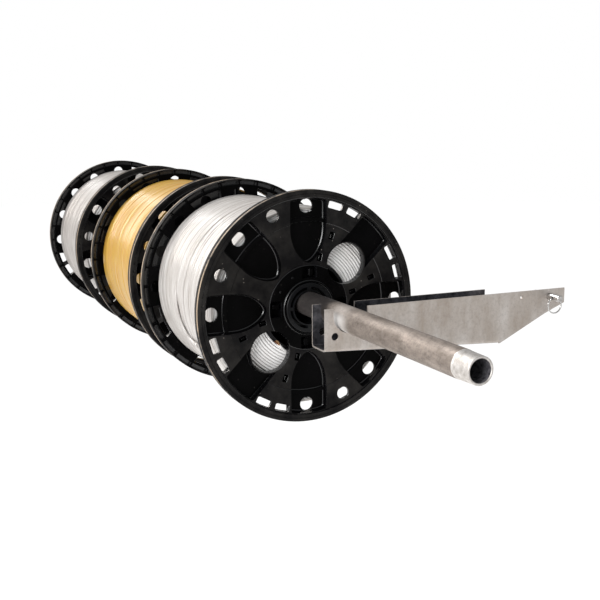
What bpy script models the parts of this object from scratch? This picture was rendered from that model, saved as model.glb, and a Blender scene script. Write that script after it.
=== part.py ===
"""Stud-hung rack of three cable reels on one pipe.

Two folded-steel brackets hang on wall studs. A threaded steel pipe lies in
their open cradles and carries three moulded reels of building cable.

Frame: +X runs along the pipe towards its near end, +Y points into the wall,
+Z is up. The origin is the middle of the near bracket's web end, where the
bracket seats on the front face of its stud.
"""
import math

import bmesh
import bpy
from mathutils import Matrix, Vector

MM = 0.001

# Pipe (1 1/4 in heavy-wall steel pipe)
PIPE_Y = -287.0
PIPE_Z = 65.5
PIPE_OD = 42.16
PIPE_ID = 32.5
PIPE_NEAR_X = 383.5
PIPE_FAR_X = -1710.0
THREAD_LENGTH = 36.0
THREAD_TIP_OD = 39.8
THREAD_ROOT_OD = 41.2

# Reels
REEL_Z = 58.6
REEL_WIDTH = 344.8
REEL_FRONTS = (-128.5, -548.5, -1043.5)
FRONT_PHASES = (0.0, 0.0, -11.0)
REAR_PHASES = (-90.0, -90.0, -87.5)
WINDING_RADII = (173.0, 178.0, 177.0)
JACKET_COLOURS = ("white", "yellow", "white")

# Flange moulding; depths are measured inwards from its outer plane
FLANGE_R = 203.2
FLANGE_T = 18.0
WEB_FACE = 3.0
WEB_WALL = 5.0
RECESS_FLOOR = 14.0
HUB_BORE_R = 38.2
RIM_IN_R = 189.0
HOLE_CIRCLE_R = 175.0
RECESS_HOLE_R = 12.0
SPOKE_HOLE_R = 11.0
SLOT_CIRCLE_R = 181.5
SLOT_LENGTH = 27.0
SLOT_WIDTH = 14.0
SLOT_ANGLE = 6.0
WINDOW_CIRCLE_R = 102.0
WINDOW_R = 36.0
WINDOW_COLLAR_R = 38.5
PETAL_TIP_R = 78.0
PETAL_HALF = 33.5
PETAL_END_R = 188.0

# Clock angles on a flange, clockwise from the top, seen from outside
WINDOW_ANGLES = (45.0, -135.0)
PETAL_ANGLES = (0.0, -45.0, -90.0, 180.0, 135.0, 90.0)
SPOKE_HOLE_ANGLES = (-22.5, -67.5, 157.5, 112.5)
SLOT_ANGLES = (22.5, 67.5, -112.5, -157.5)

# Barrel and arbor bushes
DRUM_R = 82.0
DRUM_WALL = 5.0
BUSH_BORE_R = 28.5
BUSH_R = 37.8
BUSH_LIP_R = 43.0
BUSH_LIP_T = 2.6
BUSH_LENGTH = 34.0
GAP = 0.35

# Brackets (2.7 mm sheet)
SHEET = 2.7
BRACKET_W = 48.0
BEND_R = 6.0
BRACKET_TOP = 85.5
BRACKET_NOSE_Y = -332.0
BRACKET_NOSE_Z = 16.2
SEAT_Z = -1.35
TAIL = ((-8.0, 9.0), (-0.5, 7.0), (0.0, -1.3), (2.0, -1.5), (39.6, 16.5),
        (96.0, 43.4), (136.4, 59.5), (136.4, 85.5), (-8.0, 85.5))
CRADLE_Y = -286.5
CRADLE_R = 30.6
CRADLE_Z = 74.7
NOSE_HOLE = (-313.9, 40.3, 6.25)
TAIL_HOLE = (44.1, 75.1, 2.35)
STUD_PITCH = 406.4
FAR_BRACKET_X = -4.0 * STUD_PITCH

# Stud pin and its pull ring
PIN_Y = 104.0
PIN_Z = 72.4
PIN_R = 5.8
PIN_CLEAR_R = 6.1
PIN_INNER_X = -18.0
PIN_TIP_X = 54.0
CROSS_HOLE_X = 39.0
CROSS_HOLE_R = 2.6
RING_R = 13.9
RING_WIRE_R = 1.1
RING_Z = 59.1


def clear_scene():
    for obj in list(bpy.data.objects):
        bpy.data.objects.remove(obj, do_unlink=True)


def material(name, colour, roughness, metallic):
    mat = bpy.data.materials.new(name)
    mat.use_nodes = True
    shader = mat.node_tree.nodes["Principled BSDF"]
    shader.inputs["Base Color"].default_value = (*colour, 1.0)
    shader.inputs["Roughness"].default_value = roughness
    shader.inputs["Metallic"].default_value = metallic
    return mat


def place(name, mesh, mat, parent=None, location=(0, 0, 0), rotation=(0, 0, 0)):
    obj = bpy.data.objects.new(name, mesh)
    bpy.context.scene.collection.objects.link(obj)
    if mat is not None:
        mesh.materials.clear()
        mesh.materials.append(mat)
    obj.parent = parent
    obj.location = Vector(location) * MM
    obj.rotation_euler = rotation
    return obj


def empty(name, location, parent=None):
    obj = bpy.data.objects.new(name, None)
    bpy.context.scene.collection.objects.link(obj)
    obj.parent = parent
    obj.location = Vector(location) * MM
    return obj


def finish(bm, name):
    """Scale millimetres to metres, turn faces outwards and shade smooth."""
    bmesh.ops.scale(bm, vec=(MM, MM, MM), verts=bm.verts)
    bmesh.ops.recalc_face_normals(bm, faces=bm.faces)
    mesh = bpy.data.meshes.new(name)
    bm.to_mesh(mesh)
    bm.free()
    mesh.shade_smooth()
    mesh.set_sharp_from_angle(angle=math.radians(35.0))
    return mesh


def prism(bm, outline, x0, x1):
    """Extrude a closed (y, z) outline along X."""
    face = bm.faces.new([bm.verts.new((x0, y, z)) for y, z in outline])
    result = bmesh.ops.extrude_face_region(bm, geom=[face])
    top = [v for v in result["geom"] if isinstance(v, bmesh.types.BMVert)]
    bmesh.ops.translate(bm, verts=top, vec=(x1 - x0, 0, 0))


def lathe(bm, profile, steps, start=0.0):
    """Spin an (x, r) profile about X; it is closed unless it ends on the axis."""
    s, c = math.sin(math.radians(start)), math.cos(math.radians(start))
    verts = [bm.verts.new((x, r * s, r * c)) for x, r in profile]
    first = 1 if profile[0][1] == 0.0 else 0
    edges = [bm.edges.new((verts[i - 1], verts[i])) for i in range(first, len(verts))]
    bmesh.ops.spin(bm, geom=verts + edges, cent=(0, 0, 0), axis=(1, 0, 0),
                   angle=math.tau, steps=steps, use_merge=True)
    if first:
        bmesh.ops.remove_doubles(bm, verts=bm.verts, dist=0.001)


def merge_flats(bm):
    """Join a lathed blank's flat ring faces into halves, so that cuts stay clean."""
    levels = {}
    for edge in bm.edges:
        a, b = edge.verts
        if abs(a.co.x - b.co.x) < 0.001 and all(abs(f.normal.x) > 0.99 for f in edge.link_faces):
            levels.setdefault(round(a.co.x, 2), []).append(edge)
    for edges in levels.values():
        edges.sort(key=lambda e: math.atan2(e.verts[0].co.z, e.verts[0].co.y))
        half = len(edges) // 2
        bmesh.ops.dissolve_edges(bm, edges=edges[1:half] + edges[half + 1:])


def circle(y, z, radius, steps):
    return [(y + radius * math.cos(math.tau * i / steps),
             z + radius * math.sin(math.tau * i / steps)) for i in range(steps)]


def clocked(outline, degrees):
    """Turn a (w, r) outline to a clock angle on the flange."""
    s, c = math.sin(math.radians(degrees)), math.cos(math.radians(degrees))
    return [(w * c + r * s, r * c - w * s) for w, r in outline]


def boolean_mesh(base, cutter, operation):
    """Return base combined with cutter, both meshes in metres."""
    body = place("body_guide", base, None)
    tool = place("cutter_guide", cutter, None)
    tool.hide_render = True
    tool.display_type = "WIRE"
    mod = body.modifiers.new("cut", "BOOLEAN")
    mod.operation = operation
    mod.solver = "EXACT"
    mod.object = tool
    graph = bpy.context.evaluated_depsgraph_get()
    graph.update()
    mesh = bpy.data.meshes.new_from_object(body.evaluated_get(graph))
    bpy.data.objects.remove(body, do_unlink=True)
    bpy.data.objects.remove(tool, do_unlink=True)
    mesh.shade_smooth()
    mesh.set_sharp_from_angle(angle=math.radians(35.0))
    return mesh


def petal_outline():
    """Pointed-arch recess with a square outer end, as (w, r) points."""
    side = []
    for i in range(1, 4):
        k = i / 3.0
        side.append((PETAL_HALF * math.sin(k * math.pi / 2.0) ** 0.85,
                     PETAL_TIP_R + 60.0 * k ** 1.35))
    corner = math.sqrt(PETAL_END_R ** 2 - PETAL_HALF ** 2)
    right = side + [(PETAL_HALF, corner)]
    left = [(-w, r) for w, r in reversed(right)]
    return [(0.0, PETAL_TIP_R)] + right + [(0.0, PETAL_END_R)] + left


def window_recess_outline():
    """Recess outboard of a window, stopping at the window's collar."""
    points = []
    for i in range(4):
        w = PETAL_HALF * (1.0 - i / 1.5)
        height = math.sqrt(WINDOW_COLLAR_R ** 2 - w * w)
        points.append((w, WINDOW_CIRCLE_R + height))
    corner = math.sqrt(PETAL_END_R ** 2 - PETAL_HALF ** 2)
    return points + [(-PETAL_HALF, corner), (0.0, PETAL_END_R), (PETAL_HALF, corner)]


def pocket_outline():
    """Hollow behind the outer end of a spoke."""
    points = []
    for r, spread in ((154.0, 8.0), (187.5, 10.6)):
        arc = []
        for k in (-1.0, 1.0):
            angle = math.radians(spread * k)
            arc.append((r * math.sin(angle), r * math.cos(angle)))
        points += arc if not points else arc[::-1]
    return points


def flange_mesh():
    """Moulded flange: outer plane at x = 0, inner face at x = -FLANGE_T."""
    bm = bmesh.new()
    lathe(bm, [(-FLANGE_T, HUB_BORE_R), (-WEB_FACE, HUB_BORE_R),
               (-WEB_FACE, RIM_IN_R), (0.0, RIM_IN_R + 1.5),
               (0.0, FLANGE_R), (-FLANGE_T, FLANGE_R)], 44, start=2.2)
    bm.normal_update()
    merge_flats(bm)
    base = finish(bm, "flange_blank")

    bm = bmesh.new()
    for angle in PETAL_ANGLES:
        prism(bm, clocked(petal_outline(), angle), 2.0, -RECESS_FLOOR)
    for angle in WINDOW_ANGLES:
        prism(bm, clocked(window_recess_outline(), angle), 2.0, -RECESS_FLOOR)
    for k in range(8):
        angle = 22.5 + 45.0 * k
        prism(bm, clocked(pocket_outline(), angle), -FLANGE_T - 2.0,
              -WEB_FACE - WEB_WALL)
    base = boolean_mesh(base, finish(bm, "recess_cutter"), "DIFFERENCE")

    bm = bmesh.new()
    for angle in PETAL_ANGLES:
        outline = circle(0.0, HOLE_CIRCLE_R, RECESS_HOLE_R, 10)
        prism(bm, clocked(outline, angle), 3.0, -FLANGE_T - 3.0)
    for angle in SPOKE_HOLE_ANGLES:
        outline = circle(0.0, HOLE_CIRCLE_R - 1.0, SPOKE_HOLE_R, 10)
        prism(bm, clocked(outline, angle), 3.0, -FLANGE_T - 3.0)
    for angle in SLOT_ANGLES:
        for side in (-SLOT_ANGLE, SLOT_ANGLE):
            half_l, half_w = SLOT_LENGTH / 2.0, SLOT_WIDTH / 2.0 - 1.5
            middle = SLOT_CIRCLE_R - 1.5
            outline = [(-half_l, middle - half_w), (half_l, middle - half_w),
                       (half_l, middle + half_w), (-half_l, middle + half_w)]
            prism(bm, clocked(outline, angle + side), 3.0, -FLANGE_T - 3.0)
    for angle in WINDOW_ANGLES:
        outline = circle(0.0, WINDOW_CIRCLE_R, WINDOW_R, 16)
        prism(bm, clocked(outline, angle), 3.0, -FLANGE_T - 3.0)
    return boolean_mesh(base, finish(bm, "hole_cutter"), "DIFFERENCE")


def bush_mesh():
    """Arbor bush: lip on the outer side, sleeve running into the reel."""
    bm = bmesh.new()
    lathe(bm, [(0.0, BUSH_BORE_R), (0.0, BUSH_LIP_R), (-BUSH_LIP_T, BUSH_LIP_R),
               (-BUSH_LIP_T, BUSH_R), (-BUSH_LENGTH, BUSH_R),
               (-BUSH_LENGTH, BUSH_BORE_R)], 24)
    return finish(bm, "bush")


def sleeve_mesh(name, length, outer, inner, steps):
    """Plain tube from x = 0 to x = -length."""
    bm = bmesh.new()
    lathe(bm, [(0.0, inner), (0.0, outer), (-length, outer), (-length, inner)], steps)
    return finish(bm, name)


def winding_mesh(name, length, outer):
    """Solid that the wound cable fills, from barrel to outermost turn."""
    bm = bmesh.new()
    inner = DRUM_R + GAP
    lathe(bm, [(0.0, inner), (0.0, outer), (-length, outer), (-length, inner)], 44)
    return finish(bm, name)


def pipe_mesh():
    bm = bmesh.new()
    length = PIPE_NEAR_X - PIPE_FAR_X
    root = THREAD_ROOT_OD / 2.0
    lathe(bm, [(0.0, PIPE_ID / 2.0), (0.0, THREAD_TIP_OD / 2.0),
               (-THREAD_LENGTH, root), (-THREAD_LENGTH - 0.5, PIPE_OD / 2.0),
               (-length, PIPE_OD / 2.0), (-length, PIPE_ID / 2.0)], 36)
    return finish(bm, "pipe")


def channel_mesh():
    """Sloping U channel with a flat tail on its near leg."""
    bm = bmesh.new()
    half, inner_r = BRACKET_W / 2.0, BEND_R - SHEET
    bend_x = half - BEND_R
    outer, inner = [], []
    for i in range(5):
        angle = math.radians(22.5 * i)
        s, c = math.sin(angle), math.cos(angle)
        outer.append((bend_x + BEND_R * c, BEND_R - BEND_R * s))
        inner.append((bend_x + inner_r * c, BEND_R - inner_r * s))
    outer += [(-x, z) for x, z in reversed(outer)]
    inner += [(-x, z) for x, z in reversed(inner)]
    top = BRACKET_TOP - BRACKET_NOSE_Z
    section = [(half, top)] + outer + [(-half, top), (-half + SHEET, top)]
    section += inner[::-1] + [(half - SHEET, top)]
    face = bm.faces.new([bm.verts.new((x, BRACKET_NOSE_Y, BRACKET_NOSE_Z + z))
                         for x, z in section])
    grown = bmesh.ops.extrude_face_region(bm, geom=[face])
    for v in [g for g in grown["geom"] if isinstance(g, bmesh.types.BMVert)]:
        v.co.y = 0.0
        if v.co.z < BRACKET_TOP - 1.0:
            v.co.z += SEAT_Z - BRACKET_NOSE_Z
    channel = finish(bm, "channel")

    bm = bmesh.new()
    prism(bm, TAIL, half, half - SHEET)
    channel = boolean_mesh(channel, finish(bm, "tail"), "UNION")

    bm = bmesh.new()
    left, right = CRADLE_Y - CRADLE_R, CRADLE_Y + CRADLE_R
    cradle = [(right, BRACKET_TOP + 5.0), (left, BRACKET_TOP + 5.0)]
    for i in range(17):
        angle = math.pi + math.pi * i / 16.0
        cradle.append((CRADLE_Y + CRADLE_R * math.cos(angle),
                       CRADLE_Z + CRADLE_R * math.sin(angle)))
    prism(bm, cradle, -half - 4.0, half + 4.0)
    prism(bm, circle(*NOSE_HOLE, 16), -half - 4.0, half + 4.0)
    prism(bm, circle(*TAIL_HOLE, 10), 0.0, half + 4.0)
    prism(bm, circle(PIN_Y, PIN_Z, PIN_CLEAR_R, 20), 0.0, half + 4.0)
    return boolean_mesh(channel, finish(bm, "channel_cutter"), "DIFFERENCE")


def pin_mesh():
    """Round pin along X with a cross hole for the ring; x from its tail hole."""
    bm = bmesh.new()
    lathe(bm, [(PIN_INNER_X, 0.0), (PIN_INNER_X, PIN_R - 1.5),
               (PIN_INNER_X + 1.5, PIN_R), (PIN_TIP_X - 1.2, PIN_R),
               (PIN_TIP_X, PIN_R - 1.2), (PIN_TIP_X, 0.0)], 20)
    pin = finish(bm, "pin")

    bm = bmesh.new()
    matrix = Matrix.Translation((CROSS_HOLE_X, 0, 0)) @ Matrix.Rotation(math.pi / 2, 4, "X")
    bmesh.ops.create_cone(bm, cap_ends=True, segments=14, radius1=CROSS_HOLE_R,
                          radius2=CROSS_HOLE_R, depth=30.0, matrix=matrix)
    return boolean_mesh(pin, finish(bm, "pin_cutter"), "DIFFERENCE")


def ring_mesh():
    """Pull ring in the YZ plane, its origin on the cross hole's axis."""
    bm = bmesh.new()
    drop = RING_Z - PIN_Z
    verts = []
    for i in range(6):
        angle = math.tau * (i + 0.5) / 6
        verts.append(bm.verts.new((RING_WIRE_R * math.cos(angle), 0,
                                   RING_R + RING_WIRE_R * math.sin(angle))))
    edges = [bm.edges.new((verts[i - 1], verts[i])) for i in range(6)]
    bmesh.ops.spin(bm, geom=verts + edges, cent=(0, 0, 0), axis=(1, 0, 0),
                   angle=math.tau, steps=24, use_merge=True)
    bmesh.ops.translate(bm, verts=bm.verts, vec=(0, 0, drop))
    return finish(bm, "ring")


def build_reel(number, front_x, phases, winding_r, jacket, shared, mats):
    """One reel: two flanges, barrel, two bushes and its wound cable."""
    axis = empty(f"reel_{number}_axis", (front_x, PIPE_Y, REEL_Z))
    name = f"reel_{number}_"
    inner = REEL_WIDTH - 2.0 * FLANGE_T
    front, rear = (math.radians(-p) for p in phases)
    place(name + "front_flange", shared["flange"].copy(), mats["flange"], axis,
          rotation=(front, 0, 0))
    place(name + "rear_flange", shared["flange"].copy(), mats["flange"], axis,
          (-REEL_WIDTH, 0, 0), (rear, 0, math.pi))
    place(name + "front_bush", shared["bush"].copy(), mats["bush"], axis)
    place(name + "rear_bush", shared["bush"].copy(), mats["bush"], axis,
          (-REEL_WIDTH, 0, 0), (0, 0, math.pi))
    drum = sleeve_mesh(name + "drum", inner - 2 * GAP, DRUM_R, DRUM_R - DRUM_WALL, 36)
    place(name + "drum", drum, mats["bush"], axis, (-FLANGE_T - GAP, 0, 0))
    cable = winding_mesh(name + "cable", inner - 2.4, winding_r)
    place(name + "cable", cable, mats[jacket], axis, (-FLANGE_T - 1.2, 0, 0))


def build_bracket(side, x, shared, mats):
    """One bracket with its stud pin and pull ring."""
    base = empty(f"{side}_bracket_frame", (x, 0, 0))
    place(f"{side}_bracket", shared["channel"].copy(), mats["zinc"], base)
    place(f"{side}_stud_pin", shared["pin"].copy(), mats["zinc"], base,
          (0, PIN_Y, PIN_Z))
    place(f"{side}_pull_ring", shared["ring"].copy(), mats["steel"], base,
          (CROSS_HOLE_X, PIN_Y, PIN_Z))


def main():
    clear_scene()
    mats = {
        "flange": material("black_polypropylene", (0.012, 0.012, 0.013), 0.42, 0.0),
        "bush": material("black_nylon", (0.015, 0.015, 0.016), 0.5, 0.0),
        "white": material("white_pvc_jacket", (0.72, 0.70, 0.67), 0.45, 0.0),
        "yellow": material("yellow_pvc_jacket", (0.86, 0.55, 0.02), 0.45, 0.0),
        "zinc": material("galvanised_steel", (0.55, 0.55, 0.55), 0.42, 1.0),
        "pipe": material("weathered_steel_pipe", (0.32, 0.29, 0.26), 0.45, 1.0),
        "steel": material("bright_steel_wire", (0.60, 0.60, 0.60), 0.25, 1.0),
    }
    shared = {"flange": flange_mesh(), "bush": bush_mesh(),
              "channel": channel_mesh(), "pin": pin_mesh(), "ring": ring_mesh()}
    place("axle_pipe", pipe_mesh(), mats["pipe"], None, (PIPE_NEAR_X, PIPE_Y, PIPE_Z))
    for i, front_x in enumerate(REEL_FRONTS):
        build_reel(i + 1, front_x, (FRONT_PHASES[i], REAR_PHASES[i]),
                   WINDING_RADII[i], JACKET_COLOURS[i], shared, mats)
    build_bracket("near", 0.0, shared, mats)
    build_bracket("far", FAR_BRACKET_X, shared, mats)


main()
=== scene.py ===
# %% [markdown]
# # A cable reel rack that hangs on wall studs
#
# Two folded-steel brackets hold up one steel pipe, and three black plastic
# reels of flat building cable turn on it. This notebook builds the looks of
# each piece around a fixed frame of plain solids, which says where every piece
# is and how it moves. Sizes of pieces below are in millimetres and are turned to
# metres when a mesh is made. Places of the camera and the lights are in metres.

# %% Load the frame
import math
import random

import bmesh
import bpy
from mathutils import Euler, Matrix, Vector, noise


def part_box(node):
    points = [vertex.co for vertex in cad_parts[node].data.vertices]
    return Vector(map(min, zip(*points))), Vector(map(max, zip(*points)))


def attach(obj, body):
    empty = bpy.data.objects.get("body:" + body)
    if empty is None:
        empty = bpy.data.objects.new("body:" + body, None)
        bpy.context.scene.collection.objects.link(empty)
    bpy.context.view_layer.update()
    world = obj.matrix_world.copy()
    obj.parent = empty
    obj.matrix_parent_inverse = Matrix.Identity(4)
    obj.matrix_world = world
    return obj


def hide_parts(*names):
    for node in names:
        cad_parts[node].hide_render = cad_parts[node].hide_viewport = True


MM = 0.001
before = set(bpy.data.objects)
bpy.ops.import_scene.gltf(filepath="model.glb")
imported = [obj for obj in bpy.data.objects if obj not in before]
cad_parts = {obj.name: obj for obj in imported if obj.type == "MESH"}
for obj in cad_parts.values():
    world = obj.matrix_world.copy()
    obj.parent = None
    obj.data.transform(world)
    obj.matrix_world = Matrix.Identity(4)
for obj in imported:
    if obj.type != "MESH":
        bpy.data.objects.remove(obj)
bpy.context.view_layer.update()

# %% [markdown]
# ## The camera and the studio
#
# The rack is seen from beside the pipe's near end, a little above it, so that
# the reels run away to the left. The studio is a pale floor under an even pale
# sky. One broad sun from above and behind leaves the reels' black faces in
# shade and puts their shadow on the pipe. A card of light beside the camera
# gives the metal something to shine with, and a narrow one far behind draws a
# thin bright line along the rims.

# %% Camera, floor and lights
scene = bpy.context.scene
scene.view_settings.view_transform = "Standard"

eye = Vector((1.4136, -1.0091, 0.3869))
right = Vector((0.4160, 0.9094, -0.0045)).normalized()
back = Vector((0.8946, -0.4083, 0.1817)).normalized()
up = back.cross(right).normalized()
right = up.cross(back).normalized()

camera_data = bpy.data.cameras.new("camera")
camera_data.lens = 60.28
camera_data.sensor_width = 36.0
camera_data.clip_end = 100.0
camera = bpy.data.objects.new("camera", camera_data)
scene.collection.objects.link(camera)
turn = Matrix((right, up, back)).transposed().to_4x4()
camera.matrix_world = Matrix.Translation(eye) @ turn
scene.camera = camera

world = bpy.data.worlds.new("pale_sky")
world.use_nodes = True
sky_tree = world.node_tree
fill = sky_tree.nodes["Background"]
fill.inputs["Color"].default_value = (0.96, 0.98, 1.0, 1.0)
fill.inputs["Strength"].default_value = 0.46
backdrop = sky_tree.nodes.new("ShaderNodeBackground")
backdrop.inputs["Color"].default_value = (1.0, 1.0, 1.0, 1.0)
backdrop.inputs["Strength"].default_value = 1.0
seen = sky_tree.nodes.new("ShaderNodeLightPath")
choose = sky_tree.nodes.new("ShaderNodeMixShader")
sky_tree.links.new(seen.outputs["Is Camera Ray"], choose.inputs["Fac"])
sky_tree.links.new(fill.outputs["Background"], choose.inputs[1])
sky_tree.links.new(backdrop.outputs["Background"], choose.inputs[2])
sky_tree.links.new(choose.outputs["Shader"], sky_tree.nodes["World Output"].inputs["Surface"])
scene.world = world


def add_light(name, kind, energy, towards, place=(0, 0, 0), **settings):
    data = bpy.data.lights.new(name, kind)
    data.energy = energy
    for key, value in settings.items():
        setattr(data, key, value)
    lamp = bpy.data.objects.new(name, data)
    lamp.location = place
    lamp.rotation_euler = Vector(towards).to_track_quat("-Z", "Y").to_euler()
    scene.collection.objects.link(lamp)
    return lamp


add_light("broad_sun", "SUN", 2.5, (0.58, 0.36, -0.80), angle=math.radians(12))
add_light("left_card", "AREA", 27.0, (-0.62, 1.0, -0.25), (0.75, -1.75, 0.55),
          shape="RECTANGLE", size=1.0, size_y=0.8)
add_light("rim_card", "AREA", 36.0, (1.0, 0.75, -0.55), (-2.9, -1.7, 1.3),
          color=(1.0, 0.93, 0.86), shape="RECTANGLE", size=0.5, size_y=1.6)
print("camera at", tuple(round(c, 3) for c in eye))

# %% [markdown]
# ## Small tools for materials
#
# Colours are written as the hex values that a designer would pick, and one
# function turns them to the linear values that light needs. Another adds one
# node to a material, sets its values and links it up. Pattern scales are given
# as real sizes in millimetres.

# %% Colour and node helpers


def linear(hex_code):
    """sRGB hex to linear RGBA."""
    parts = [int(hex_code[i:i + 2], 16) / 255.0 for i in (1, 3, 5)]
    low = [p / 12.92 if p <= 0.04045 else ((p + 0.055) / 1.055) ** 2.4 for p in parts]
    return (*low, 1.0)


def per_metre(size_mm):
    """Texture scale at which one feature is size_mm across."""
    return 1000.0 / size_mm


def add_node(tree, kind, values=None, links=None, **settings):
    made = tree.nodes.new(kind)
    for key, value in settings.items():
        setattr(made, key, value)
    for socket, value in (values or {}).items():
        made.inputs[socket].default_value = value
    for socket, (source, output) in (links or {}).items():
        tree.links.new(source.outputs[output], made.inputs[socket])
    return made


def start_material(name, roughness, metallic=0.0, ior=None):
    """New material; returns it with its tree, shader and object coordinates."""
    made = bpy.data.materials.new(name)
    made.use_nodes = True
    tree = made.node_tree
    shader = tree.nodes["Principled BSDF"]
    shader.inputs["Roughness"].default_value = roughness
    shader.inputs["Metallic"].default_value = metallic
    if ior is not None:
        shader.inputs["IOR"].default_value = ior
    where = add_node(tree, "ShaderNodeTexCoord")
    return made, tree, shader, where


def join(tree, source, output, shader, socket):
    tree.links.new(source.outputs[output], shader.inputs[socket])


floor_paint, tree, shader, where = start_material("matte_floor_paint", 0.9)
shader.inputs["Base Color"].default_value = linear("#FDFCFB")
shader.inputs["Specular IOR Level"].default_value = 0.1
disc = bmesh.new()
bmesh.ops.create_circle(disc, cap_ends=True, segments=96, radius=18.0)
floor_mesh = bpy.data.meshes.new("studio_floor")
disc.to_mesh(floor_mesh)
disc.free()
floor_mesh.materials.append(floor_paint)
floor = bpy.data.objects.new("studio_floor", floor_mesh)
floor.location = (-0.8, 0.0, -1.35)
scene.collection.objects.link(floor)
print("floor at", floor.location.z)

# %% [markdown]
# ## Black moulded polypropylene
#
# The flanges are injection-moulded polypropylene, dyed black through and
# through. Only the raised faces are rubbed by hands and floors, and they turn
# paler in broad patches some 60 mm across and hold specks of site dust. The
# recess floors, the faces round the hub and the inner faces are given a darker
# grade as painted shade, for the recesses and the gaps between the reels. The
# walls and edges between them are polished by hands and catch thin bright lines.
# So one function makes three grades of the same plastic. The dust spots are
# 2 mm, a little coarser than real so that they show, and the mould's grain is a
# bump 1.5 mm across.

# %% Black polypropylene in three grades


def black_plastic(name, deep, rubbed_tone, dust, roughness, level):
    made, tree, shader, where = start_material(name, roughness)
    shader.inputs["Specular IOR Level"].default_value = level
    rubbed = add_node(tree, "ShaderNodeTexNoise",
                      {"Scale": per_metre(60.0), "Detail": 7.0, "Roughness": 0.66},
                      {"Vector": (where, "Object")})
    rub_mask = add_node(tree, "ShaderNodeMapRange",
                        {"From Min": 0.40, "From Max": 0.70}, {"Value": (rubbed, "Fac")})
    rub_mix = add_node(tree, "ShaderNodeMix", {6: linear(deep), 7: linear(rubbed_tone)},
                       {0: (rub_mask, "Result")}, data_type="RGBA")
    specks = add_node(tree, "ShaderNodeTexVoronoi", {"Scale": per_metre(8.0)},
                      {"Vector": (where, "Object")})
    speck_size = add_node(tree, "ShaderNodeMapRange",
                          {"From Min": 0.13, "From Max": 0.07}, {"Value": (specks, "Distance")})
    speck_pick = add_node(tree, "ShaderNodeTexNoise",
                          {"Scale": per_metre(28.0), "Detail": 3.0},
                          {"Vector": (where, "Object")})
    speck_where = add_node(tree, "ShaderNodeMapRange",
                           {"From Min": 0.54, "From Max": 0.62, "To Max": dust},
                           {"Value": (speck_pick, "Fac")})
    speck_mask = add_node(tree, "ShaderNodeMath", None,
                          {0: (speck_size, "Result"), 1: (speck_where, "Result")},
                          operation="MULTIPLY")
    dusty = add_node(tree, "ShaderNodeMix", {7: linear("#8C857E")},
                     {0: (speck_mask, "Value"), 6: (rub_mix, 2)}, data_type="RGBA")
    join(tree, dusty, 2, shader, "Base Color")
    sheen_map = add_node(tree, "ShaderNodeMapRange",
                         {"To Min": roughness - 0.12, "To Max": roughness + 0.16},
                         {"Value": (rubbed, "Fac")})
    join(tree, sheen_map, "Result", shader, "Roughness")
    grain = add_node(tree, "ShaderNodeTexNoise", {"Scale": per_metre(1.5), "Detail": 3.0},
                     {"Vector": (where, "Object")})
    relief = add_node(tree, "ShaderNodeBump", {"Strength": 0.12, "Distance": 0.0004},
                      {"Height": (grain, "Fac")})
    join(tree, relief, "Normal", shader, "Normal")
    return made


rubbed_pp = black_plastic("rubbed_black_polypropylene", "#070607", "#292725", 0.9, 0.46, 0.12)
# Painted shade: this grade is darker than the rubbed one.
recess_shade_pp = black_plastic("black_polypropylene_painted_recess_shade", "#030303", "#080708", 0.15, 0.30, 0.03)
edge_pp = black_plastic("polished_black_edges", "#040405", "#0E0E10", 0.1, 0.22, 0.60)
print("made", rubbed_pp.name, recess_shade_pp.name, edge_pp.name)

# %% [markdown]
# The rims' outer corners are painted a pale tan in broken stretches some 30 mm
# long. It is a painted highlight that gives the eye a thin bright line round
# each reel.

# %% Painted highlight on the rim corners
rim_highlight_paint, tree, shader, where = start_material("rim_corner_painted_highlight", 0.6)
rim_glint_noise = add_node(tree, "ShaderNodeTexNoise",
                 {"Scale": per_metre(30.0), "Detail": 8.0, "Roughness": 0.7},
                 {"Vector": (where, "Object")})
rim_glint_mask = add_node(tree, "ShaderNodeMapRange", {"From Min": 0.40, "From Max": 0.56},
                      {"Value": (rim_glint_noise, "Fac")})
rim_glint_mix = add_node(tree, "ShaderNodeMix", {6: linear("#151413"), 7: linear("#9A8772")},
                     {0: (rim_glint_mask, "Result")}, data_type="RGBA")
join(tree, rim_glint_mix, 2, shader, "Base Color")
print("made", rim_highlight_paint.name)

# %% [markdown]
# ## Black nylon
#
# The bushes that turn on the pipe, and the barrels, are a harder black plastic,
# such as nylon. Bushes wear smooth, so they are glossier than the flanges, with
# thin turning marks.

# %% Black nylon
black_nylon, tree, shader, where = start_material("black_nylon", 0.34)
shader.inputs["Specular IOR Level"].default_value = 0.2
wear = add_node(tree, "ShaderNodeTexNoise",
                {"Scale": per_metre(22.0), "Detail": 4.0}, {"Vector": (where, "Object")})
wear_mix = add_node(tree, "ShaderNodeMix",
                    {6: linear("#070708"), 7: linear("#141517")},
                    {0: (wear, "Fac")}, data_type="RGBA")
join(tree, wear_mix, 2, shader, "Base Color")
wear_sheen = add_node(tree, "ShaderNodeMapRange", {"To Min": 0.24, "To Max": 0.46},
                      {"Value": (wear, "Fac")})
join(tree, wear_sheen, "Result", shader, "Roughness")
print("made", black_nylon.name)

# %% [markdown]
# ## Cable jackets
#
# Flat building cable has a soft PVC jacket, extruded smooth and slightly
# glossy. The white one is a warm white and the yellow one a pale golden yellow.
# Dust and handling mute it in long patches, and pulling it through the die
# leaves faint lines along it, so the pattern is stretched round the reel by
# reading the texture from the distance to the reel's axis.

# %% PVC jackets
# The top layer is painted darker, as painted shade, and the layers under it,
# which show in the windows, are painted brighter, as painted light. They are a
# shaded and a lit copy of one jacket.


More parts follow.
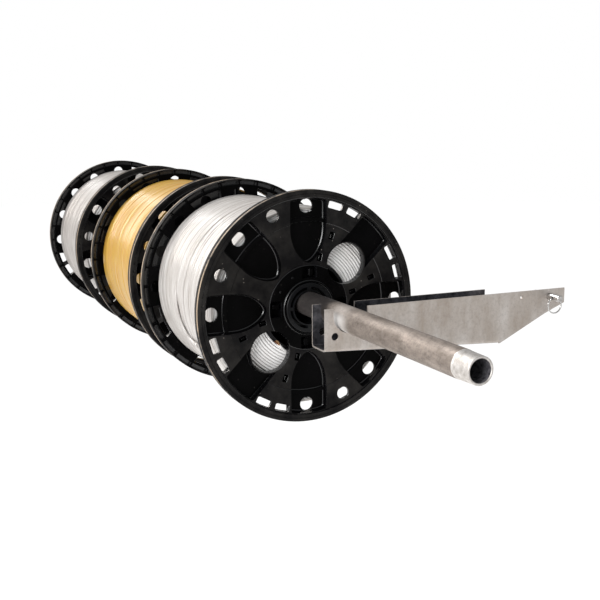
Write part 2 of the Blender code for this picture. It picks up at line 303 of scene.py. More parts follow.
def pvc_jacket(name, brighter, shaded, roughness):
    made, tree, shader, where = start_material(name, roughness, ior=1.54)
    parts = add_node(tree, "ShaderNodeSeparateXYZ", None, {"Vector": (where, "Object")})
    round_z = add_node(tree, "ShaderNodeMath", {1: 0.12}, {0: (parts, "Z")},
                       operation="MULTIPLY")
    round_y = add_node(tree, "ShaderNodeMath", {1: 0.12}, {0: (parts, "Y")},
                       operation="MULTIPLY")
    long_way = add_node(tree, "ShaderNodeCombineXYZ", None,
                        {"X": (parts, "X"), "Y": (round_y, "Value"), "Z": (round_z, "Value")})
    streak = add_node(tree, "ShaderNodeTexNoise",
                      {"Scale": per_metre(11.0), "Detail": 6.0, "Roughness": 0.66},
                      {"Vector": (long_way, "Vector")})
    patch = add_node(tree, "ShaderNodeMapRange", {"From Min": 0.35, "From Max": 0.75},
                     {"Value": (streak, "Fac")})
    tint = add_node(tree, "ShaderNodeMix", {6: linear(brighter), 7: linear(shaded)},
                    {0: (patch, "Result")}, data_type="RGBA")
    join(tree, tint, 2, shader, "Base Color")
    sheen = add_node(tree, "ShaderNodeMapRange",
                     {"To Min": roughness - 0.08, "To Max": roughness + 0.14},
                     {"Value": (streak, "Fac")})
    join(tree, sheen, "Result", shader, "Roughness")
    skin = add_node(tree, "ShaderNodeTexNoise", {"Scale": per_metre(2.5), "Detail": 2.0},
                    {"Vector": (long_way, "Vector")})
    relief = add_node(tree, "ShaderNodeBump", {"Strength": 0.10, "Distance": 0.0003},
                      {"Height": (skin, "Fac")})
    join(tree, relief, "Normal", shader, "Normal")
    shader.inputs["Coat Weight"].default_value = 0.45
    shader.inputs["Coat Roughness"].default_value = 0.16
    return made


lit_copy_white_pvc = pvc_jacket("white_pvc_jacket_painted_light", "#F7F6F5", "#E6E2DE", 0.40)
shaded_copy_white_pvc = pvc_jacket("white_pvc_jacket_painted_shade", "#C6C2BE", "#958D86", 0.34)
# The third reel's top jacket is darker still: painted shade.
far_shaded_white_pvc = pvc_jacket("far_white_pvc_jacket_painted_shade", "#BDB8B4", "#857E78", 0.40)
lit_copy_yellow_pvc = pvc_jacket("yellow_pvc_jacket_painted_light", "#F0C35A", "#E0A548", 0.40)
shaded_copy_yellow_pvc = pvc_jacket("yellow_pvc_jacket_painted_shade", "#C49E3A", "#B8822C", 0.34)
kraft_paper, tree, shader, where = start_material("kraft_paper_filler", 0.85)
shader.inputs["Base Color"].default_value = linear("#8A6A48")
bare_copper, tree, shader, where = start_material("bare_copper_wire", 0.3, 1.0)
shader.inputs["Base Color"].default_value = linear("#B4704A")
print("made", shaded_copy_white_pvc.name, shaded_copy_yellow_pvc.name, "and their clean grades")

# %% [markdown]
# ## Steel finishes
#
# The brackets are galvanised sheet: dull zinc with a faint spangle 8 mm across
# and cloudy stains that run down it, 40 mm wide. Their inner faces are drawn in
# a much darker zinc. The pipe is plain steel with a brown-grey weathered skin,
# streaked along its length, and its thread, cut through that skin, is pale and
# bright. Both carry fine dark grit, drawn 4.5 mm across, coarser than real so
# that it shows. The pin is zinc plated, and the ring is bright spring wire.

# %% One function for every steel finish


def clouded_metal(name, light, dark, cloud_mm, roughness, metallic,
                  stretch=(1.0, 1.0, 1.0), fleck=None, grit=None):
    made, tree, shader, where = start_material(name, roughness, metallic)
    along = add_node(tree, "ShaderNodeMapping", None, {"Vector": (where, "Object")})
    along.inputs["Scale"].default_value = stretch
    cloud = add_node(tree, "ShaderNodeTexNoise",
                     {"Scale": per_metre(cloud_mm), "Detail": 7.0, "Roughness": 0.62},
                     {"Vector": (along, "Vector")})
    spread = add_node(tree, "ShaderNodeMapRange", {"From Min": 0.34, "From Max": 0.68},
                      {"Value": (cloud, "Fac")})
    tint = add_node(tree, "ShaderNodeMix", {6: linear(light), 7: linear(dark)},
                    {0: (spread, "Result")}, data_type="RGBA")
    last = tint
    if fleck is not None:
        crystal = add_node(tree, "ShaderNodeTexVoronoi", {"Scale": per_metre(8.0)},
                           {"Vector": (where, "Object")})
        tone = add_node(tree, "ShaderNodeSeparateColor", None, {"Color": (crystal, "Color")})
        weak = add_node(tree, "ShaderNodeMath", {1: 0.14}, {0: (tone, "Red")},
                        operation="MULTIPLY")
        last = add_node(tree, "ShaderNodeMix", {7: linear(fleck)},
                        {0: (weak, "Value"), 6: (tint, 2)}, data_type="RGBA")
    if grit is not None:
        speck = add_node(tree, "ShaderNodeTexNoise",
                         {"Scale": per_metre(4.5), "Detail": 5.0, "Roughness": 0.75},
                         {"Vector": (where, "Object")})
        pits = add_node(tree, "ShaderNodeMapRange",
                        {"From Min": 0.47, "From Max": 0.70, "To Max": 0.55},
                        {"Value": (speck, "Fac")})
        last = add_node(tree, "ShaderNodeMix", {7: linear(grit)},
                        {0: (pits, "Result"), 6: (last, 2)}, data_type="RGBA")
    join(tree, last, 2, shader, "Base Color")
    sheen = add_node(tree, "ShaderNodeMapRange",
                     {"To Min": roughness - 0.10, "To Max": roughness + 0.12},
                     {"Value": (cloud, "Fac")})
    join(tree, sheen, "Result", shader, "Roughness")
    fine = add_node(tree, "ShaderNodeTexNoise", {"Scale": per_metre(1.8), "Detail": 3.0},
                    {"Vector": (along, "Vector")})
    relief = add_node(tree, "ShaderNodeBump", {"Strength": 0.10, "Distance": 0.0003},
                      {"Height": (fine, "Fac")})
    join(tree, relief, "Normal", shader, "Normal")
    return made


print("steel finish function ready")

# %% Metal materials
zinc_sheet = clouded_metal("galvanised_sheet", "#CBC5C0", "#A89C91", 40.0, 0.48, 0.72,
                           stretch=(1.0, 1.0, 0.35), fleck="#C4BEB8", grit="#9A928B")
inner_darker_zinc = clouded_metal("inner_face_darker_zinc", "#6A6A70", "#17171A", 18.0, 0.30, 0.7)
pipe_skin = clouded_metal("weathered_pipe_steel_painted_glint_and_shade", "#948980", "#695F57", 14.0, 0.56, 0.50,
                          stretch=(0.3, 1.0, 1.0), grit="#3F3934")
cut_thread = clouded_metal("fresh_cut_thread", "#D6D2CE", "#AFA9A3", 6.0, 0.42, 0.75)
pipe_bore = clouded_metal("scaled_pipe_bore", "#77757A", "#2B2A2E", 5.0, 0.55, 0.3)
zinc_plate = clouded_metal("zinc_plated_steel", "#C9C6C3", "#A8A5A3", 10.0, 0.30, 0.95)
spring_wire = clouded_metal("bright_spring_wire", "#D4D2D0", "#B5B3B1", 6.0, 0.22, 1.0)
print("made seven steel finishes")

# %% [markdown]
# Where the near bracket's outer leg holds the pipe, a band some 40 mm wide on
# the pipe's lower side is painted near white: a painted highlight. From just
# past it towards the reels, and all along among them, the pipe is painted dark:
# a painted shade for the shadow of the flanges. Both are masks along the pipe,
# in metres from its near end, and are mixed over the skin.

# %% Painted highlight and painted shade on the pipe
GLINT_AT, GLINT_REACH = -0.366, 0.046
SHADE_STARTS, SHADE_IS_FULL = -0.392, -0.43
tree = pipe_skin.node_tree
shader = tree.nodes["Principled BSDF"]
tint = shader.inputs["Base Color"].links[0].from_node
where = add_node(tree, "ShaderNodeTexCoord")
parts = add_node(tree, "ShaderNodeSeparateXYZ", None, {"Vector": (where, "Object")})
# Painted highlight: a near-white band on the lower side, under the near bracket's outer leg.
from_glint = add_node(tree, "ShaderNodeMath", {1: -GLINT_AT}, {0: (parts, "X")}, operation="ADD")
distance = add_node(tree, "ShaderNodeMath", None, {0: (from_glint, "Value")},
                    operation="ABSOLUTE")
glint_band = add_node(tree, "ShaderNodeMapRange",
               {"From Min": GLINT_REACH, "From Max": 0.0, "To Max": 0.8},
               {"Value": (distance, "Value")}, interpolation_type="SMOOTHERSTEP")
glint_low_side = add_node(tree, "ShaderNodeMapRange",
                    {"From Min": 0.016, "From Max": 0.0, "To Min": 0.15},
                    {"Value": (parts, "Z")}, interpolation_type="SMOOTHERSTEP")
glint_mask = add_node(tree, "ShaderNodeMath", None,
                   {0: (glint_band, "Result"), 1: (glint_low_side, "Result")}, operation="MULTIPLY")
bright = add_node(tree, "ShaderNodeMix", {7: linear("#E9E6E3")},
                  {0: (glint_mask, "Value"), 6: (tint, 2)}, data_type="RGBA")
# Painted shade: the pipe darkens from just past the band on towards the reels.
shade_mask = add_node(tree, "ShaderNodeMapRange",
                   {"From Min": SHADE_STARTS, "From Max": SHADE_IS_FULL, "To Max": 0.8},
                   {"Value": (parts, "X")}, interpolation_type="SMOOTHERSTEP")
shaded_skin = add_node(tree, "ShaderNodeMix", {7: linear("#2E2D30")},
                  {0: (shade_mask, "Result"), 6: (bright, 2)}, data_type="RGBA")
join(tree, shaded_skin, 2, shader, "Base Color")
# The band printed here is a painted highlight, and the dark stretch is painted shade.
print("pipe skin with a rubbed band and black dust among the reels")

# %% [markdown]
# ## Mesh tools
#
# Nearly every piece is turned, or is a moulding with pockets sunk into it. So
# one function turns a closed profile about the pipe's direction, and another
# lofts a flat outline through several depths, growing or shrinking it at each.
# A loft that is wider at the surface and narrower at the floor cuts a pocket
# with a chamfered edge and drafted walls, as a real mould makes.

# %% Turning, lofting and cutting


def turned(bm, profile, steps, start=0.0):
    """Turn a closed (x, r) profile about X."""
    rings = []
    for k in range(steps):
        angle = math.radians(start) + math.tau * k / steps
        s, c = math.sin(angle), math.cos(angle)
        rings.append([bm.verts.new((x, r * s, r * c)) for x, r in profile])
    count = len(profile)
    for k in range(steps):
        here, there = rings[k], rings[(k + 1) % steps]
        for i in range(count):
            j = (i + 1) % count
            bm.faces.new((here[i], there[i], there[j], here[j]))


def grown(outline, amount):
    """Move a closed (w, r) outline outwards by amount, corner by corner."""
    area = sum(a[0] * b[1] - b[0] * a[1]
               for a, b in zip(outline, outline[1:] + outline[:1]))
    way = 1.0 if area > 0 else -1.0
    moved = []
    count = len(outline)
    for i in range(count):
        before, here, after = outline[i - 1], outline[i], outline[(i + 1) % count]
        e1 = Vector((here[0] - before[0], here[1] - before[1])).normalized()
        e2 = Vector((after[0] - here[0], after[1] - here[1])).normalized()
        n1, n2 = Vector((e1.y, -e1.x)), Vector((e2.y, -e2.x))
        middle = (n1 + n2).normalized()
        reach = min(1.0 / max(middle.dot(n1), 0.35), 2.2)
        moved.append((here[0] + way * amount * reach * middle.x,
                      here[1] + way * amount * reach * middle.y))
    return moved


def clocked(outline, degrees):
    """Turn a (w, r) outline to a clock angle, clockwise from the top."""
    s, c = math.sin(math.radians(degrees)), math.cos(math.radians(degrees))
    return [(w * c + r * s, r * c - w * s) for w, r in outline]


def lofted(bm, outline, levels):
    """Solid through levels of (x, growth) of one closed (y, z) outline."""
    rings = [[bm.verts.new((x, y, z)) for y, z in grown(outline, amount)]
             for x, amount in levels]
    count = len(outline)
    for low, high in zip(rings, rings[1:]):
        for i in range(count):
            j = (i + 1) % count
            bm.faces.new((low[i], low[j], high[j], high[i]))
    bm.faces.new(rings[0])
    bm.faces.new(rings[-1])


def to_mesh(bm, name, angle=32.0):
    """Millimetres to metres, faces outwards, smooth up to an angle."""
    bmesh.ops.scale(bm, vec=(MM, MM, MM), verts=bm.verts)
    bmesh.ops.recalc_face_normals(bm, faces=bm.faces)
    mesh = bpy.data.meshes.new(name)
    bm.to_mesh(mesh)
    bm.free()
    mesh.shade_smooth()
    mesh.set_sharp_from_angle(angle=math.radians(angle))
    return mesh


def show(name, mesh, *materials):
    piece = bpy.data.objects.new(name, mesh)
    scene.collection.objects.link(piece)
    for material in materials:
        mesh.materials.append(material)
    return piece


def combined(base, tool, operation, angle=32.0):
    """Exact Boolean of two meshes, as a new mesh."""
    first, second = show("guide_body", base), show("guide_tool", tool)
    cut = first.modifiers.new("cut", "BOOLEAN")
    cut.operation = operation
    cut.solver = "EXACT"
    cut.object = second
    graph = bpy.context.evaluated_depsgraph_get()
    graph.update()
    mesh = bpy.data.meshes.new_from_object(first.evaluated_get(graph))
    bpy.data.objects.remove(first, do_unlink=True)
    bpy.data.objects.remove(second, do_unlink=True)
    mesh.shade_smooth()
    mesh.set_sharp_from_angle(angle=math.radians(angle))
    return mesh


def circle(w, r, radius, steps=32):
    return [(w + radius * math.cos(math.tau * i / steps),
             r + radius * math.sin(math.tau * i / steps)) for i in range(steps)]


def box_outline(w, r, width, height, corner=1.5, steps=4):
    """Rectangle with rounded corners."""
    points = []
    for cx, cy, first in ((1, 1, 0), (-1, 1, 90), (-1, -1, 180), (1, -1, 270)):
        for i in range(steps + 1):
            angle = math.radians(first + 90.0 * i / steps)
            points.append((w + cx * (width / 2 - corner) + corner * math.cos(angle),
                           r + cy * (height / 2 - corner) + corner * math.sin(angle)))
    return points


print("mesh tools ready")

# %% [markdown]
# ## The flange moulding
#
# A flange is a 16 inch disc. Its spokes are fans that spread towards the rim,
# and between them lie pointed recesses, each with a square outer end that has a
# hole to tie the cable's end to. Two round windows show the windings. It is
# turned as one blank, pockets are sunk with lofts, and the holes follow. The
# mould is the same for both ends of a reel, so it is made once and shared.

# %% Flange blank
# (x, r) from the bore out over the hub, the web and the rim, and back behind.
FLANGE_T = 18.0
flange_profile = [
    (-18.0, 38.9), (-17.3, 38.2), (-3.9, 38.2), (-3.3, 38.8), (-3.3, 43.9),
    (-0.9, 44.5), (-0.4, 45.1), (-0.4, 47.4), (-0.9, 48.1), (-3.0, 49.0),
    (-3.0, 73.4), (-3.6, 74.4), (-4.8, 75.0), (-4.8, 146.6), (-4.3, 147.8),
    (-3.3, 148.7), (-3.0, 149.8), (-3.0, 188.4), (-2.6, 189.3), (-0.6, 190.0),
    (0.0, 190.8), (0.0, 195.6), (-0.6, 196.0), (-0.6, 196.8), (0.0, 197.2),
    (0.0, 200.9), (-0.6, 202.4), (-1.9, 203.2), (-7.4, 203.2), (-7.8, 202.5),
    (-9.6, 202.5), (-10.0, 203.2), (-16.6, 203.2), (-17.6, 202.7), (-18.0, 201.6)]
bm = bmesh.new()
turned(bm, flange_profile, 144, start=0.9)
blank = to_mesh(bm, "flange_blank")
print("blank faces", len(blank.polygons))

# %% Pointed recesses
PETAL_HALF, PETAL_TIP, PETAL_END = 33.5, 78.0, 188.0
WINDOW_AT, WINDOW_R, COLLAR_R = 102.0, 36.0, 38.5
petal_angles = (0.0, -45.0, -90.0, 180.0, 135.0, 90.0)
window_angles = (45.0, -135.0)


def arch_side(count):
    """Right side of a pointed arch, tip first."""
    side = []
    for i in range(1, count + 1):
        k = i / count
        side.append((PETAL_HALF * math.sin(k * math.pi / 2.0) ** 0.85,
                     PETAL_TIP + 60.0 * k ** 1.35))
    return side


def square_end(half, corner=4.0):
    """Outer end of a recess, right corner to left, with rounded corners."""
    points = []
    for i in range(5):
        angle = math.radians(90.0 * i / 4)
        points.append((half - corner + corner * math.cos(angle),
                       PETAL_END - 3.0 - corner + corner * math.sin(angle)))
    points += [(half / 2, PETAL_END - 0.75), (0.0, PETAL_END)]
    mirrored = [(-w, r) for w, r in reversed(points[:-1])]
    return points + mirrored


def whole_petal():
    side = arch_side(14)
    left = [(-w, r) for w, r in reversed(side)]
    return [(0.0, PETAL_TIP)] + side + square_end(PETAL_HALF) + left


def arch_part():
    """Deep inner part of a recess, up to its cross rib."""
    side = arch_side(14)
    left = [(-w, r) for w, r in reversed(side)]
    top = [(PETAL_HALF * math.cos(math.pi * i / 8),
            math.sqrt(150.5 ** 2 - (PETAL_HALF * math.cos(math.pi * i / 8)) ** 2))
           for i in range(9)]
    return [(0.0, PETAL_TIP)] + side + top + left


def end_part():
    """Deep outer part of a recess, beyond its cross rib."""
    low = [(-PETAL_HALF + PETAL_HALF * 2 * i / 8,
            math.sqrt(154.0 ** 2 - (-PETAL_HALF + PETAL_HALF * 2 * i / 8) ** 2))
           for i in range(9)]
    return low + square_end(PETAL_HALF, 6.0)


def beside_window():
    """Recess beyond a window, stopping at the window's collar."""
    points = []
    for i in range(11):
        w = PETAL_HALF * (1.0 - i / 5.0)
        points.append((w, WINDOW_AT + math.sqrt(COLLAR_R ** 2 - w * w)))
    return points[::-1] + square_end(PETAL_HALF)


bm = bmesh.new()
for angle in petal_angles:
    lofted(bm, clocked(whole_petal(), angle),
           [(2.0, 1.0), (-2.9, 0.9), (-5.6, 0.0), (-9.4, -0.4)])
for angle in window_angles:
    lofted(bm, clocked(beside_window(), angle),
           [(2.0, 0.4), (-2.9, 0.4), (-5.6, 0.0), (-12.6, -0.8), (-14.0, -2.0)])
flange = combined(blank, to_mesh(bm, "recess_tool"), "DIFFERENCE")
bm = bmesh.new()
for angle in petal_angles:
    for outline in (arch_part(), end_part()):
        lofted(bm, clocked(outline, angle),
               [(-8.0, -1.2), (-12.8, -1.6), (-14.0, -2.8)])
flange = combined(flange, to_mesh(bm, "floor_tool"), "DIFFERENCE")
print("recessed faces", len(flange.polygons))

# %% [markdown]
# The holes come next: round ones in the recesses and in four of the fans,
# paired slots in the other four, the two windows, and small catch slots beside
# each window. Behind the fans the moulding is hollow, which keeps its walls
# even, and a ring of small pockets lightens the rim's inner side.

# %% Holes, slots and hollows
fan_hole_angles = (-22.5, -67.5, 157.5, 112.5)
slot_angles = (22.5, 67.5, -112.5, -157.5)
hub_angles = (0.0, 90.0, 180.0, -90.0)
catch_places = [(middle + side * spread, radius) for middle in window_angles
                for side in (-1.0, 1.0) for radius, spread in ((130.0, 25.0), (88.5, 31.0))]
RECESS_HOLE_AT, FAN_HOLE_AT, SLOT_AT = 175.0, 174.0, 181.0


def sector(r0, r1, spread0, spread1, steps=5):
    """Ring sector centred on angle zero, as a closed outline."""
    points = []
    for radius, spread, way in ((r0, spread0, 1), (r1, spread1, -1)):
        for i in range(steps + 1):
            angle = math.radians(way * spread * (2.0 * i / steps - 1.0))
            points.append((radius * math.sin(angle), radius * math.cos(angle)))
    return points


bm = bmesh.new()
for k in range(8):
    lofted(bm, clocked(sector(154.0, 187.5, 8.0, 10.6), 22.5 + 45.0 * k),
           [(-20.0, 0.6), (-18.2, 0.6), (-17.2, 0.0), (-7.8, -0.8)])
for k in range(32):
    lofted(bm, clocked(sector(192.2, 199.4, 5.1, 5.1, 3), 11.25 * k + 5.6),
           [(-20.0, 0.2), (-18.2, 0.2), (-17.4, 0.0), (-10.6, -0.5)])
for angle in hub_angles:
    lofted(bm, clocked(box_outline(1.0, 62.0, 27.0, 21.0, 2.0), angle),
           [(2.0, 0.5), (-2.8, 0.5), (-3.6, 0.0), (-15.5, -0.8)])
for angle, radius in catch_places:
    lofted(bm, clocked(box_outline(0.0, radius, 8.5, 13.0, 1.2), angle),
           [(2.0, 0.4), (-4.8, 0.4), (-5.3, 0.0), (-15.0, -0.3)])
flange = combined(flange, to_mesh(bm, "hollow_tool"), "DIFFERENCE")

bm = bmesh.new()
for angle in petal_angles:
    lofted(bm, clocked(circle(0.0, RECESS_HOLE_AT, 12.0), angle),
           [(2.0, 0.5), (-13.6, 0.5), (-14.6, 0.0), (-17.3, 0.0), (-18.3, 0.7), (-21.0, 0.7)])
for angle in fan_hole_angles:
    lofted(bm, clocked(circle(0.0, FAN_HOLE_AT, 11.0), angle),
           [(2.0, 0.7), (-2.8, 0.7), (-3.6, 0.0), (-12.2, 0.0)])
for angle in slot_angles:
    for side in (-6.0, 6.0):
        lofted(bm, clocked(box_outline(0.0, SLOT_AT, 27.0, 12.5, 2.5), angle + side),
               [(2.0, 0.6), (-2.8, 0.6), (-3.6, 0.0), (-12.2, 0.0)])
for angle in window_angles:
    lofted(bm, clocked(circle(0.0, WINDOW_AT, WINDOW_R, 72), angle),
           [(2.0, 1.0), (-2.8, 1.0), (-5.4, 0.2), (-16.8, -0.5), (-18.3, 0.3), (-20.0, 0.3)])
flange = combined(flange, to_mesh(bm, "hole_tool"), "DIFFERENCE")
print("holed faces", len(flange.polygons))

# %% [markdown]
# Small catches stand in the slots, and in the pockets round the hub, and four
# round ejector marks lie between those pockets. Then every face gets its grade
# of plastic, by how far out it lies and which way it looks.

# %% Catches and mould marks
bm = bmesh.new()
for angle, radius in catch_places:
    lofted(bm, clocked(box_outline(0.0, radius - 0.5, 3.6, 8.0, 0.8), angle),
           [(-15.4, 0.0), (-6.4, -0.2), (-5.8, -0.7)])
for angle in (-30.0, -60.0, 120.0, 150.0):
    lofted(bm, clocked(circle(0.0, 62.0, 2.2, 12), angle),
           [(-3.6, 0.0), (-2.4, -0.3), (-2.1, -1.0)])
for angle in hub_angles:
    lofted(bm, clocked(box_outline(5.0, 61.0, 8.0, 12.0, 1.0), angle),
           [(-16.0, 0.0), (-6.0, -0.4), (-5.5, -0.8)])
flange = combined(flange, to_mesh(bm, "catch_tool"), "UNION")
flange.name = "flange_moulding"
print("catches", len(catch_places))

# %% Grades of plastic
RUBBED, RECESS_SHADE, POLISHED, RIM_HIGHLIGHT = 0, 1, 2, 3
# Recess floors, hub faces and inner faces take the darker grade as painted shade, and the rims'
# outer corners take the painted highlight.
for polygon in flange.polygons:
    centre = polygon.center / MM
    radius = math.hypot(centre.y, centre.z)
    if radius > 202.9 and centre.x > -7.5:
        polygon.material_index = RIM_HIGHLIGHT
    elif radius > 200.0 or (centre.x > -5.2 and polygon.normal.x > 0.9 and radius > 74.0):
        polygon.material_index = RUBBED
    elif centre.x < -17.0 or polygon.normal.x > 0.96:
        polygon.material_index = RECESS_SHADE
    else:
        polygon.material_index = POLISHED
print("finished flange faces", len(flange.polygons))

# %% [markdown]
# ## Bush and barrel
#
# A bush lines the flange's bore and turns on the pipe. Four curved pockets,
# parted by webs, lighten its lip. The barrel between the flanges is a plain
# tube that the cable hides, with stiffening rings at its ends.

# %% Bush
bm = bmesh.new()
turned(bm, [(-0.5, 28.5), (0.0, 29.2), (0.0, 42.2), (-0.6, 43.0), (-2.6, 43.0),
            (-2.6, 37.8), (-33.4, 37.8), (-34.0, 37.2), (-34.0, 29.0), (-33.5, 28.5)],
       96, start=0.7)
bush = to_mesh(bm, "bush_blank")
bm = bmesh.new()
for k in range(4):
    lofted(bm, clocked(sector(31.4, 36.2, 39.0, 40.0, 12), 45.0 + 90.0 * k),
           [(2.0, 0.3), (0.0, 0.3), (-0.5, 0.0), (-14.0, -0.3)])
bush = combined(bush, to_mesh(bm, "bush_tool"), "DIFFERENCE")
bush.name = "arbor_bush"
bm = bmesh.new()
turned(bm, [(-0.35, 77.0), (-0.35, 82.0), (-307.75, 82.0), (-307.75, 77.0),
            (-300.0, 77.0), (-298.0, 79.0), (-10.0, 79.0), (-8.0, 77.0)], 96)
barrel = to_mesh(bm, "barrel")
print("bush faces", len(bush.polygons), "barrel faces", len(barrel.polygons))

# %% [markdown]
# ## The windings
#
# The cable is flat, about 9.5 by 4.4 mm, laid side by side in layers. Each
# layer is 4.5 mm up and each turn 9.9 mm along. The core stands for all the
# layers under the top one: it is turned with one rounded bump for each layer on
# its two sides, where the edge of every turn shows through the windows. No two
# layers reach quite as far, and a loosely laid one leaves a deeper gap. The top
# layer is one real strip that runs round and round and steps sideways once in
# each turn.

# %% Cable sizes
CABLE_W, CABLE_T, LAYER, PITCH = 9.5, 4.4, 4.5, 9.9
BARREL_R = 82.0
REEL_W = 344.8
print("cable strip", CABLE_W, "by", CABLE_T, "mm, barrel radius", BARREL_R)

# %% Inner layers


def wobble(seed, a, b=0.0):
    """Smooth repeatable noise from -1 to 1."""
    return noise.noise(Vector((seed * 7.31 + 0.37, a, b)))


def winding_core(outer, seed):
    """Turned stack of layers with scalloped, uneven sides."""
    rng = random.Random(seed)
    half = REEL_W / 2.0 - FLANGE_T
    top = outer - LAYER
    bounds = [BARREL_R + 0.4]
    while bounds[-1] < top - LAYER * 1.4:
        bounds.append(bounds[-1] + LAYER * rng.uniform(0.96, 1.22))
    bounds.append(top)
    rows = []
    for side in (1.0, -1.0):
        stack = []
        for i, (low, high) in enumerate(zip(bounds, bounds[1:])):
            reach = half - 1.3 - rng.uniform(0.0, 2.6)
            tight, depth = (0.93, 7.0) if rng.random() < 0.75 else (0.72, 22.0)
            middle, size = (low + high) / 2, (high - low) / 2
            stack.append((reach - depth, middle - tight * size, i))
            for k in range(7):
                t = math.radians(-84.0 + 28.0 * k)
                stack.append((reach - 2.6 + 2.6 * math.cos(t) ** 0.8,
                              middle + (tight - 0.05) * size * math.sin(t), i))
            stack.append((reach - depth, middle + tight * size, i))
        rows += [(side * x, r, i + (0 if side > 0 else 100)) for x, r, i in
                 (stack if side > 0 else stack[::-1])]
    bm = bmesh.new()
    steps = 144
    rings = []
    for k in range(steps):
        angle = math.tau * k / steps
        s, c = math.sin(angle), math.cos(angle)
        ring = []
        for x, r, i in rows:
            shift = 0.9 * wobble(seed + i * 0.61, 1.3 * s, 1.3 * c)
            lift = 0.35 * wobble(seed + 50 + i * 0.77, 1.7 * s, 1.7 * c)
            ring.append(bm.verts.new((x + math.copysign(shift, x), (r + lift) * s,
                                      (r + lift) * c)))
        rings.append(ring)
    count = len(rows)
    for k in range(steps):
        here, there = rings[k], rings[(k + 1) % steps]
        for i in range(count):
            j = (i + 1) % count
            bm.faces.new((here[i], there[i], there[j], here[j]))
    return to_mesh(bm, "winding_core", 60.0)


print("layers under the top one are", LAYER, "mm apart")

# %% Top layer


def strip_section(width=CABLE_W, thickness=CABLE_T, points=6):
    """Flat section with round sides, as (along the reel, outwards)."""
    radius, section = thickness / 2, []
    for side, first in ((1.0, -90.0), (-1.0, 90.0)):
        for i in range(points + 1):
            t = math.radians(first + 180.0 * i / points)
            section.append((side * (width / 2 - radius) + radius * math.cos(t),
                            radius * math.sin(t)))
    return section


def swept(bm, path, section):
    """Strip along a path of (centre, along, outwards), closed at both ends."""
    rings = [[bm.verts.new(centre + along * a + outwards * b) for a, b in section]
             for centre, along, outwards in path]
    count = len(section)
    for low, high in zip(rings, rings[1:]):
        for i in range(count):
            j = (i + 1) % count
            bm.faces.new((low[i], low[j], high[j], high[i]))
    bm.faces.new(rings[0])
    bm.faces.new(rings[-1])


def top_layer(outer, seed, step_at):
    """The outermost layer as one strip with a sideways step in each turn."""
    rng = random.Random(seed + 5)
    span = REEL_W - 2 * FLANGE_T - CABLE_W - 3.0
    turns = int(span / PITCH)
    pitch = span / turns
    per_turn = 84
    tilt = [rng.uniform(-6.0, 6.0) for _ in range(turns + 2)]
    lift = [rng.uniform(-1.3, 0.0) for _ in range(turns + 2)]
    drift = [rng.uniform(-0.55, 0.55) for _ in range(turns + 2)]
    path = []
    for k in range((turns + 1) * per_turn):
        turn_count = k / per_turn
        whole = int(turn_count)
        part = turn_count - whole
        ease = min(max((part - 0.90) / 0.10, 0.0), 1.0)
        ease = ease * ease * (3.0 - 2.0 * ease)
        after = min(whole + 1, turns)
        x = min(whole + ease, turns) * pitch + drift[whole] * (1 - ease) + drift[after] * ease
        angle = math.tau * part + math.radians(step_at)
        s, c = math.sin(angle), math.cos(angle)
        bend = tilt[whole] * (1 - ease) + tilt[after] * ease
        bend += 2.5 * wobble(seed + 3, whole * 0.9 + s, c)
        rise = lift[whole] * (1 - ease) + lift[after] * ease
        rise += 0.35 * wobble(seed + 9, whole * 1.3 + 0.8 * s, 0.8 * c)
        radial = Vector((0.0, s, c))
        lean = math.radians(bend)
        along = Vector((math.cos(lean), 0, 0)) + radial * math.sin(lean)
        outwards = radial * math.cos(lean) - Vector((math.sin(lean), 0, 0))
        centre = Vector((span / 2 - x, 0, 0)) + radial * (outer - CABLE_T / 2 + rise)
        path.append((centre, along, outwards))
    bm = bmesh.new()
    swept(bm, path, strip_section())
    print("top layer of", turns, "turns")
    return to_mesh(bm, "top_layer", 60.0)


print("turns are", PITCH, "mm apart")

# %% [markdown]
# ## Loose ends of cable
#
# On the first reel the outer end lies aslant over the top layer, towards the
# front flange. The inner end comes out at the lower window, where torn brown
# filler paper and two copper wires show. Both are short strips of the same
# section as the windings.

# %% Loose ends


def end_path(stops, steps=10):
    """Smooth strip path through stops of (along the reel, clock angle, radius)."""
    places = []
    last = len(stops) - 1
    for i in range(last):
        four = (stops[max(i - 1, 0)], stops[i], stops[i + 1], stops[min(i + 2, last)])
        for k in range(steps + (1 if i == last - 1 else 0)):
            t = k / steps
            x, angle, r = (0.5 * (2 * q + (u - p) * t + (2 * p - 5 * q + 4 * u - v) * t * t
                                  + (3 * q - p - 3 * u + v) * t ** 3)
                           for p, q, u, v in zip(*four))
            radial = Vector((0.0, math.sin(math.radians(angle)), math.cos(math.radians(angle))))
            places.append((Vector((x, 0.0, 0.0)) + radial * r, radial))
    path = []
    for k, (place, radial) in enumerate(places):
        ahead = (places[min(k + 1, len(places) - 1)][0] - places[max(k - 1, 0)][0]).normalized()
        across = ahead.cross(radial).normalized()
        path.append((place, across, across.cross(ahead)))
    return path


bm = bmesh.new()
swept(bm, end_path([(-45.0, -82.0, 171.6), (-37.0, -93.0, 174.2), (-29.0, -102.0, 175.4),
                    (-20.0, -110.0, 175.8), (-4.0, -116.0, 176.2), (34.0, -117.0, 177.4)]),
      strip_section())
outer_end = to_mesh(bm, "outer_end", 60.0)
bm = bmesh.new()
swept(bm, end_path([(149.0, -158.0, 86.0), (154.0, -148.0, 84.2), (160.0, -139.0, 82.0)]),
      strip_section())
jacket_faces = len(bm.faces)
swept(bm, end_path([(160.0, -139.4, 82.0), (162.0, -137.0, 81.4), (165.0, -134.0, 80.4)], 4),
      strip_section(7.4, 2.6))
paper_faces = len(bm.faces)
for offset in (-2.3, 2.3):
    swept(bm, end_path([(160.0 + offset, -139.0, 82.6), (162.0 + offset, -136.0, 82.9),
                        (166.0 + offset, -131.5, 83.6)], 4), strip_section(1.7, 1.6, 5))
